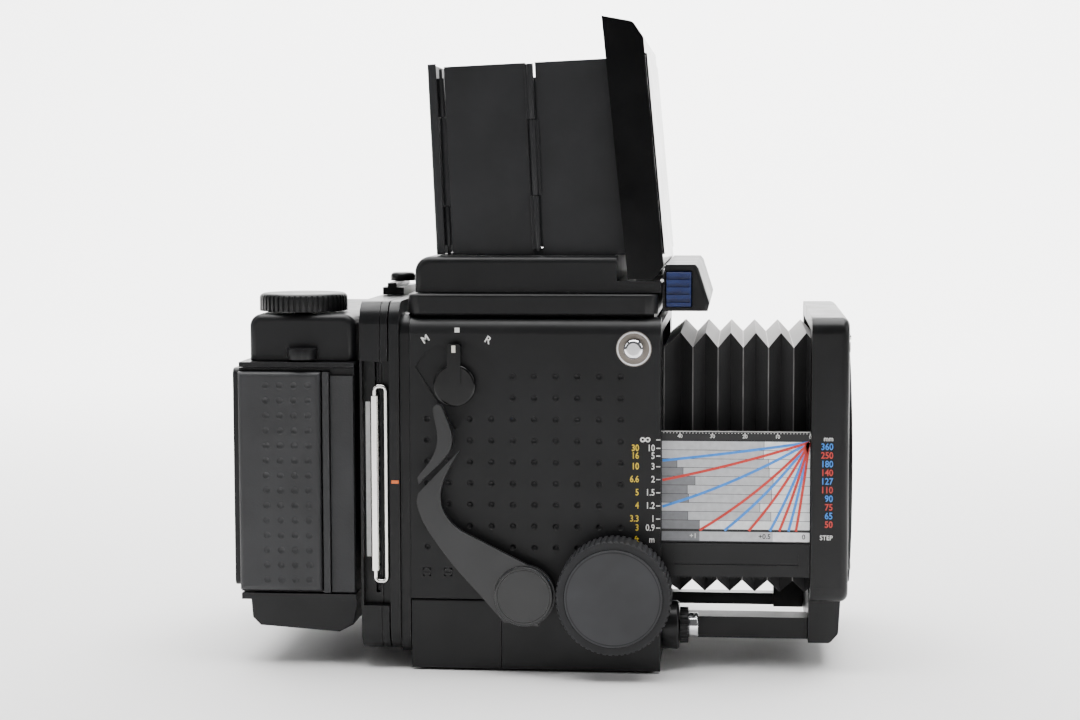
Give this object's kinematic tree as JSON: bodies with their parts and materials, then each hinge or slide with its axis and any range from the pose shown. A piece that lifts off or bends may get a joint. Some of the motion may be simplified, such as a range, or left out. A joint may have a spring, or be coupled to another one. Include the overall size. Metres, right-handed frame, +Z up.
{
  "type": "medium-format bellows-focusing reflex camera",
  "caption": "Medium-format reflex camera body with bellows rack focusing, folding waist-level hood, revolving back and roll-film holder, no lens fitted.",
  "frame": {"origin": "mouth of the tripod socket, at the middle of the base plate's underside", "axes": "+X towards the lens mount, +Z up, -Y the side with the cocking lever and release button"},
  "size_m": [0.197, 0.1324, 0.2032],
  "materials": {
    "black_body": "satin black moulded",
    "black_metal": "satin black enamel",
    "black_trim": "semi-gloss black",
    "flat_black": "dead flat black inside",
    "casting": "black-dyed die casting",
    "steel": "bright machined",
    "chrome": "polished",
    "rubber": "ribbed matt",
    "grip": "grained",
    "glass": "ground",
    "lens_glass": "clear",
    "mirror": "silvered",
    "blue": "deep blue",
    "bellows": "black pleated cloth",
    "scale": "printed scale",
    "battery": "plated can"
  },
  "bodies": {
    "camera_body": {"base_plate": "black_metal", "battery": "battery", "bellows": "bellows", "end_frames": "black_metal", "finder_base": "black_body", "fixed_back_frame": "black_metal", "focusing_screen": "glass", "hood_lid": "black_trim", "hot_shoe": "steel", "left_side_cover": "black_body", "lid_panel": "black_trim", "mirror_box": "casting", "nose_housing": "black_body", "release_collar": "black_trim", "right_lower_cover": "black_body", "right_side_cover": "black_body", "screws": "black_metal", "strap_lugs": "chrome", "top_plate": "black_body", "tripod_socket": "steel"},
    "finder_button": {"finder_release_button": "blue"},
    "battery_cover": {"battery_door": "black_body"},
    "lock_ring": {"release_lock_ring": "black_metal"},
    "release_button": {"shutter_button": "chrome"},
    "speed_dial": {"shutter_speed_dial": "black_metal"},
    "selector": {"exposure_selector": "black_trim"},
    "lever": {"cocking_lever": "black_metal", "lever_hub": "black_metal"},
    "mirror": {"mirror_frame": "flat_black", "mirror_glass": "mirror"},
    "shield": {"light_shield": "flat_black"},
    "standard": {"front_standard": "black_metal", "lens_mount_ring": "steel", "standard_rails": "black_metal", "focus_racks": "black_metal", "scale_plates": "scale", "board_screws": "black_metal"},
    "focus_drive": {"focus_shaft": "steel", "focus_knobs": "black_body", "knob_grips": "rubber"},
    "back": {"revolving_frame": "black_metal", "holder_frame": "black_metal", "holder_case": "black_body", "film_insert": "flat_black", "grip_covers": "grip", "holder_housings": "black_body"},
    "top_catch": {"top_latch": "black_metal"},
    "bottom_catch": {"bottom_latch": "black_metal"},
    "slide": {"dark_slide": "steel"},
    "bail": {"dark_slide_bail": "steel"},
    "wind_knob": {"advance_knob": "black_body"},
    "supply": {"supply_spool": "black_body"},
    "door": {"holder_door": "black_body"},
    "door_catch": {"door_latch": "black_body"},
    "hood_fr": {"hood_front_right": "black_metal"},
    "hood_rr": {"hood_rear_right": "black_metal"},
    "hood_fl": {"hood_front_left": "black_metal"},
    "hood_rl": {"hood_rear_left": "black_metal"},
    "hood_rear": {"hood_rear_panel": "black_metal"},
    "magnifier_arm": {"magnifier": "black_trim"}
  },
  "joints": [
    {"name": "focus_travel", "type": "slide", "parent": "camera_body", "child": "standard", "axis": [1, 0, 0], "range_m": [-0.046, 0], "deforming": ["bellows"]},
    {"name": "focus_knob_turn", "type": "hinge", "parent": "camera_body", "child": "focus_drive", "pos_m": [0.0252, 0, 0.0259], "axis": [0, 1, 0], "range_deg": [-692, 2]},
    {"name": "cocking_lever_swing", "type": "hinge", "parent": "camera_body", "child": "lever", "pos_m": [-0.0028, -0.056, 0.025], "axis": [0, 1, 0], "range_deg": [0, 65], "stiffness_Nm_per_rad": 0.15, "springref_deg": -8.59},
    {"name": "exposure_selector_turn", "type": "hinge", "parent": "camera_body", "child": "selector", "pos_m": [-0.0247, -0.053, 0.0897], "axis": [0, 1, 0], "range_deg": [-34, 34]},
    {"name": "shutter_button_press", "type": "slide", "parent": "camera_body", "child": "release_button", "axis": [-1, 0, 0], "range_m": [0, 0.0025], "stiffness_N_per_m": 400, "springref_m": -0.001},
    {"name": "release_lock_turn", "type": "hinge", "parent": "camera_body", "child": "lock_ring", "pos_m": [0.046, -0.042, 0.0135], "axis": [1, 0, 0], "range_deg": [0, 90]},
    {"name": "shutter_speed_turn", "type": "hinge", "parent": "camera_body", "child": "speed_dial", "pos_m": [-0.006, 0.055, 0.088], "axis": [0, 1, 0], "range_deg": [-150, 150]},
    {"name": "finder_button_press", "type": "slide", "parent": "camera_body", "child": "finder_button", "axis": [0, 1, 0], "range_m": [0, 0.0015], "stiffness_N_per_m": 400, "springref_m": -0.0005},
    {"name": "battery_door_swing", "type": "hinge", "parent": "camera_body", "child": "battery_cover", "pos_m": [-0.0225, 0.051, 0.0056], "axis": [-1, 0, 0], "range_deg": [0, 100]},
    {"name": "mirror_swing", "type": "hinge", "parent": "camera_body", "child": "mirror", "pos_m": [-0.034, 0, 0.0955], "axis": [0, -1, 0], "range_deg": [0, 45]},
    {"name": "light_shield_swing", "type": "hinge", "parent": "camera_body", "child": "shield", "pos_m": [-0.0364, 0, 0.091], "axis": [0, -1, 0], "range_deg": [0, 90]},
    {"name": "back_rotation", "type": "hinge", "parent": "camera_body", "child": "back", "pos_m": [-0.0459, 0, 0.06], "axis": [1, 0, 0], "range_deg": [0, 90]},
    {"name": "top_latch_slide", "type": "slide", "parent": "back", "child": "top_catch", "axis": [0, 1, 0], "range_m": [0, 0.004]},
    {"name": "bottom_latch_slide", "type": "slide", "parent": "back", "child": "bottom_catch", "axis": [0, 1, 0], "range_m": [0, 0.004]},
    {"name": "dark_slide_pull", "type": "slide", "parent": "back", "child": "slide", "axis": [0, -1, 0], "range_m": [0, 0.08]},
    {"name": "dark_slide_bail_swing", "type": "hinge", "parent": "slide", "child": "bail", "pos_m": [-0.0504, -0.0504, 0.0585], "axis": [0, 0, -1], "range_deg": [0, 90]},
    {"name": "film_advance_turn", "type": "hinge", "parent": "back", "child": "wind_knob", "pos_m": [-0.076, -0.033, 0.115], "axis": [0, 0, 1], "continuous": true},
    {"name": "supply_spool_turn", "type": "hinge", "parent": "back", "child": "supply", "pos_m": [-0.076, 0.033, 0.06], "axis": [0, 0, 1], "continuous": true},
    {"name": "holder_door_swing", "type": "hinge", "parent": "back", "child": "door", "pos_m": [-0.0954, 0.0476, 0.0594], "axis": [0, 0, -1], "range_deg": [0, 110]},
    {"name": "door_latch_press", "type": "slide", "parent": "back", "child": "door_catch", "axis": [-1, 0, 0], "range_m": [0, 0.003], "stiffness_N_per_m": 300, "springref_m": -0.0005},
    {"name": "hood_fold", "type": "hinge", "parent": "camera_body", "child": "hood_fr", "pos_m": [0.02877, -0.04, 0.13066], "axis": [0.0436, 0, -0.999], "range_deg": [0, 78]},
    {"name": "hood_fold_mid_right", "type": "hinge", "parent": "hood_fr", "child": "hood_rr", "pos_m": [0.0005, -0.0426, 0.12942], "axis": [-0.0436, 0, 0.999], "range_deg": [0, 156]},
    {"name": "hood_fold_front_left", "type": "hinge", "parent": "camera_body", "child": "hood_fl", "pos_m": [0.02877, 0.04, 0.13066], "axis": [-0.0436, 0, 0.999], "range_deg": [0, 78]},
    {"name": "hood_fold_mid_left", "type": "hinge", "parent": "hood_fl", "child": "hood_rl", "pos_m": [0.0005, 0.0426, 0.12942], "axis": [0.0436, 0, -0.999], "range_deg": [0, 156]},
    {"name": "hood_fold_rear", "type": "hinge", "parent": "hood_rr", "child": "hood_rear", "pos_m": [-0.02777, -0.04, 0.12819], "axis": [0.0436, 0, -0.999], "range_deg": [0, 78]},
    {"name": "magnifier_swing", "type": "hinge", "parent": "camera_body", "child": "magnifier_arm", "pos_m": [0.0299, 0, 0.1902], "axis": [0, -1, 0], "range_deg": [-84.8, 0]}
  ],
  "couplings": [
    {"joint": "focus_knob_turn", "follows": "focus_travel", "rad_per_m": 261.8},
    {"joint": "light_shield_swing", "follows": "mirror_swing", "ratio": 2},
    {"joint": "hood_fold_mid_right", "follows": "hood_fold", "ratio": 2},
    {"joint": "hood_fold_front_left", "follows": "hood_fold", "ratio": 1},
    {"joint": "hood_fold_mid_left", "follows": "hood_fold", "ratio": 2},
    {"joint": "hood_fold_rear", "follows": "hood_fold", "ratio": 1}
  ]
}
